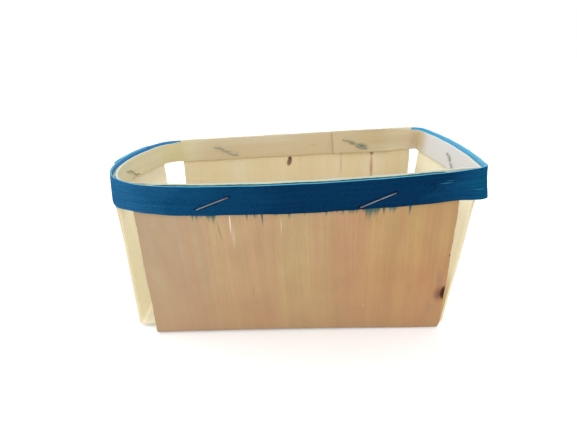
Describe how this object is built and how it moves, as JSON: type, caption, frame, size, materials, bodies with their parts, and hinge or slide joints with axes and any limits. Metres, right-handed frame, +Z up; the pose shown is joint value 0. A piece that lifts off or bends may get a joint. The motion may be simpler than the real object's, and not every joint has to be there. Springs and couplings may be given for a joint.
{
  "type": "berry basket",
  "caption": "Open-topped wood veneer punnet: folded sheets make the base and leaning walls, held at the rim by a blue outer band, a plain inner band and wire staples.",
  "frame": {"origin": "middle of the whole basket's box, on the face that it stands on", "axes": "+Z up, +X along the basket's length towards the end whose rim stands higher, -Y towards the bowed front wall"},
  "size_m": [0.2414, 0.1386, 0.1105],
  "materials": {
    "veneer": "bare rotary-cut veneer, satin, grain along the sheet",
    "blue_band": "veneer dyed blue right through, satin",
    "staple_wire": "dull drawn steel wire with a little rust"
  },
  "bodies": {
    "root": {"cross_veneer": "veneer", "lengthwise_veneer": "veneer", "outer_rim_band": "blue_band", "inner_rim_band": "veneer", "staple_front_left": "staple_wire", "staple_front_right": "staple_wire", "staple_back_left": "staple_wire", "staple_back_right": "staple_wire", "staple_left_end": "staple_wire", "staple_right_end": "staple_wire"}
  },
  "joints": []
}
